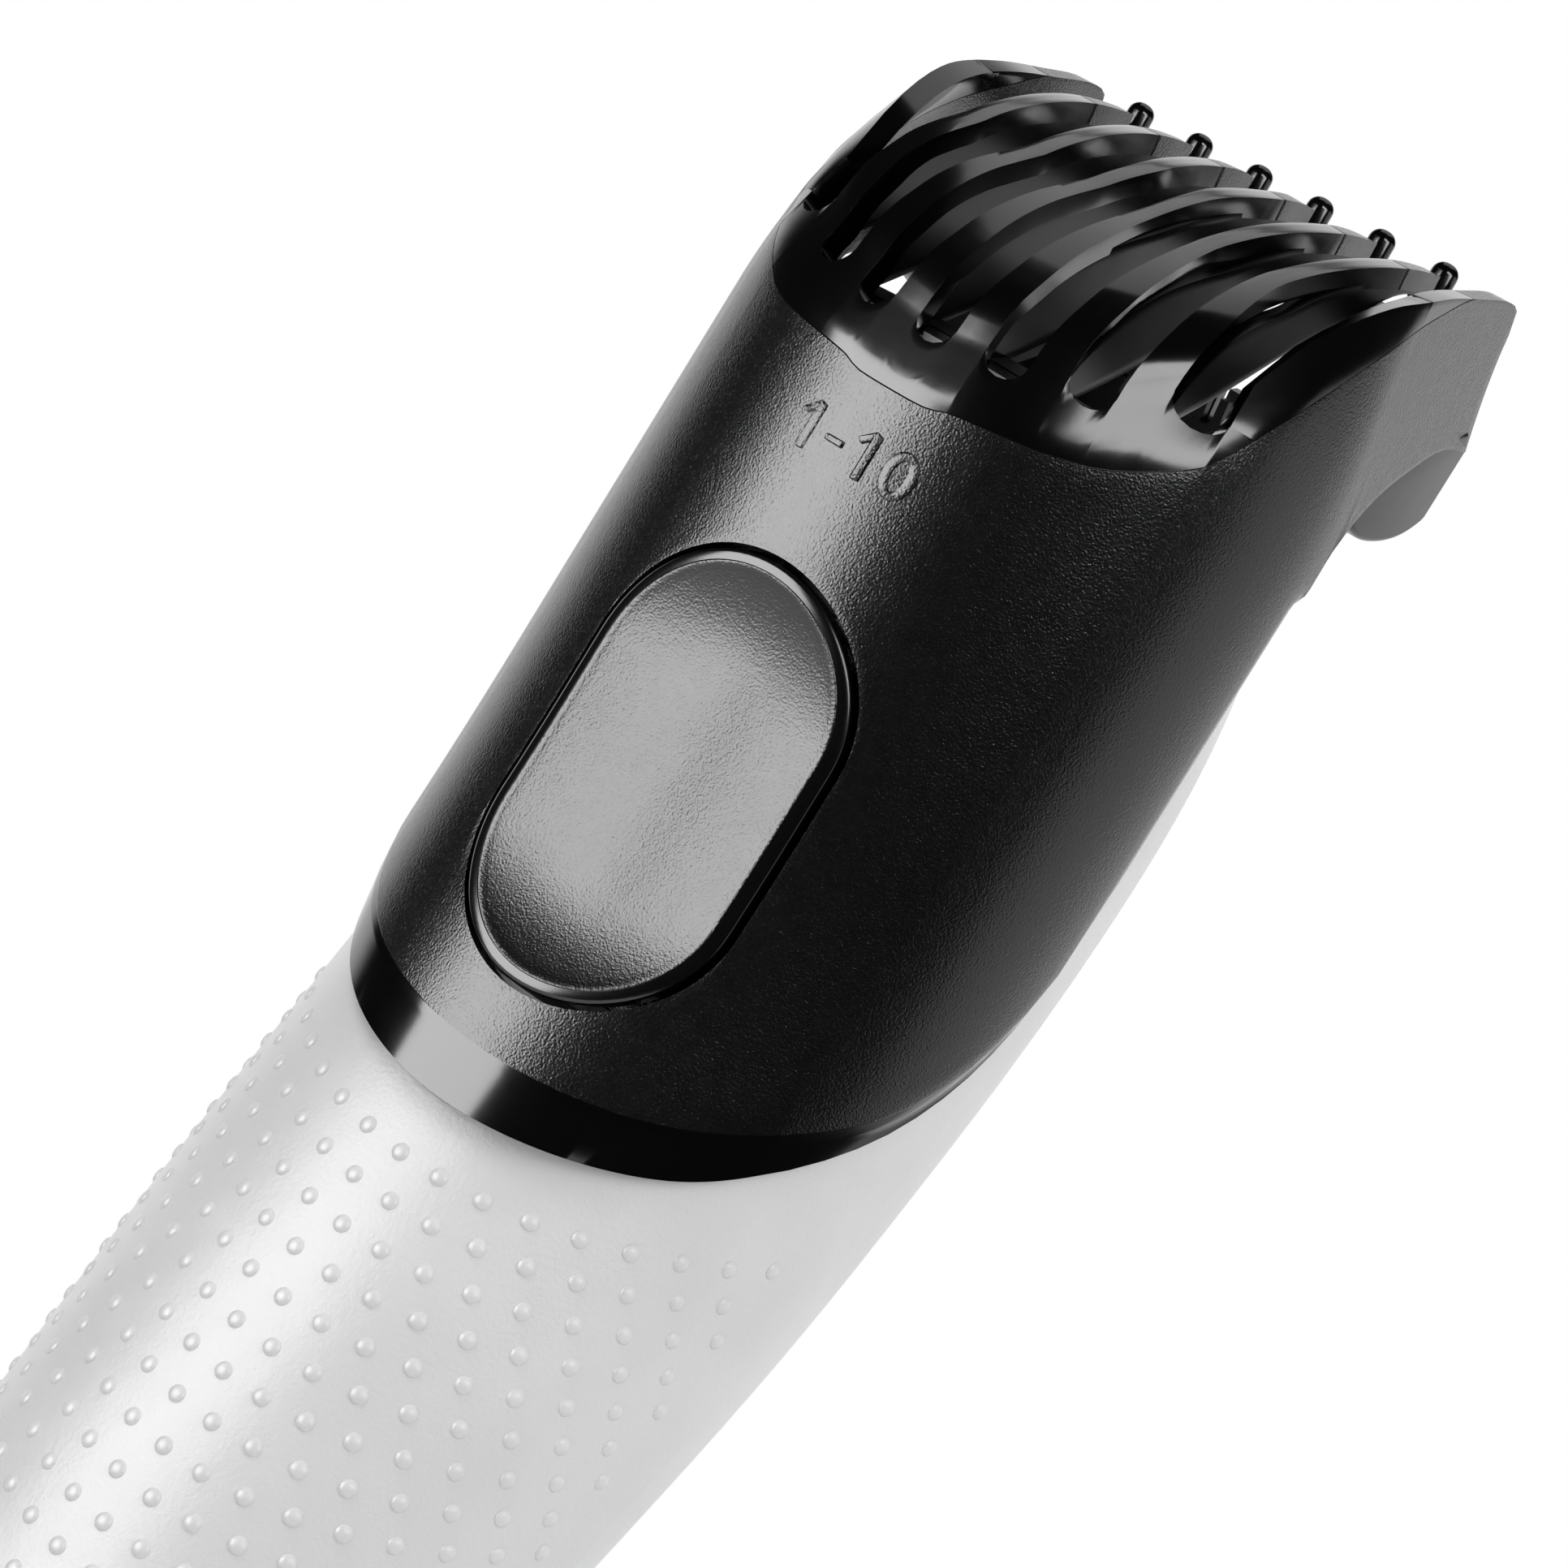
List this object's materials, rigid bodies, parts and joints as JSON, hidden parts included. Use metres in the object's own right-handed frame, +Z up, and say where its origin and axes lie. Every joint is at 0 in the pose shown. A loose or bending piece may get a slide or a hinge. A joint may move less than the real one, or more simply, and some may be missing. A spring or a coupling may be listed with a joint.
{
  "type": "hair clipper",
  "caption": "Cordless hair clipper: round bent handle, toothed cutting head and a clip-on guide comb that slides along the head on a thumb latch.",
  "frame": {"origin": "centre of the flat round face at the bottom of the base cap", "axes": "+Z up along the handle, -Y towards the thumb side that carries the comb latch, +X to the right seen from the thumb side"},
  "size_m": [0.0402, 0.0521, 0.1693],
  "materials": {
    "housing": "fine leather grain, satin",
    "comb_plastic": "spark-eroded satin, polished teeth",
    "black_plastic": "satin",
    "frame_plastic": "natural moulded",
    "clear_plastic": "clear, polished",
    "board": "solder resist",
    "cell_wrap": "shrink sleeve",
    "lead_sleeve": "soft PVC",
    "rubber": "matt",
    "steel": "plated",
    "blade_steel": "ground",
    "contact": "plated"
  },
  "bodies": {
    "handle": {"front_shell": "housing", "rear_cover": "housing", "base_cap": "black_plastic", "case_screws": "steel", "charge_socket": "black_plastic", "socket_pin": "contact", "socket_gasket": "rubber", "chassis": "frame_plastic", "circuit_board": "board", "board_parts": "black_plastic", "board_screws": "steel", "status_led": "clear_plastic", "light_guide": "clear_plastic", "tact_switch": "black_plastic", "battery_cell": "cell_wrap", "battery_tabs": "steel", "battery_pad": "rubber", "battery_leads": "lead_sleeve", "socket_leads": "lead_sleeve", "motor_leads": "lead_sleeve", "motor_case": "steel", "motor_end_bell": "frame_plastic", "motor_terminals": "contact", "motor_bracket": "frame_plastic", "motor_screws": "steel", "fixed_blade": "blade_steel", "blade_screws": "steel", "head_base": "black_plastic", "head_seal": "rubber", "length_rack": "frame_plastic"},
    "comb": {"guide_comb": "comb_plastic", "button_springs": "steel"},
    "comb_latch": {"comb_button": "comb_plastic", "comb_pawl": "frame_plastic"},
    "power_key": {"power_button": "black_plastic", "switch_pad": "rubber"},
    "rotor": {"rotor_shaft": "steel", "rotor_core": "contact", "eccentric_cam": "frame_plastic"},
    "cutter": {"moving_blade": "blade_steel", "drive_fork": "frame_plastic"}
  },
  "joints": [
    {"name": "comb_slide", "type": "slide", "parent": "handle", "child": "comb", "axis": [0, -0.309, 0.9511], "range_m": [0, 0.009]},
    {"name": "comb_latch_press", "type": "slide", "parent": "comb", "child": "comb_latch", "axis": [0, 0.9511, 0.309], "range_m": [0, 0.0009], "stiffness_N_per_m": 3000, "springref_m": -0.0006, "deforming": ["button_springs"]},
    {"name": "power_press", "type": "slide", "parent": "handle", "child": "power_key", "axis": [0, 1, 0], "range_m": [0, 0.0006], "stiffness_N_per_m": 4000, "springref_m": -0.0004, "deforming": ["switch_pad"]},
    {"name": "rotor_spin", "type": "hinge", "parent": "handle", "child": "rotor", "pos_m": [0, 0.00608, 0.10239], "axis": [0, -0.309, 0.9511], "continuous": true},
    {"name": "cutter_slide", "type": "slide", "parent": "handle", "child": "cutter", "axis": [1, 0, 0], "range_m": [-0.0008, 0.0008]}
  ]
}
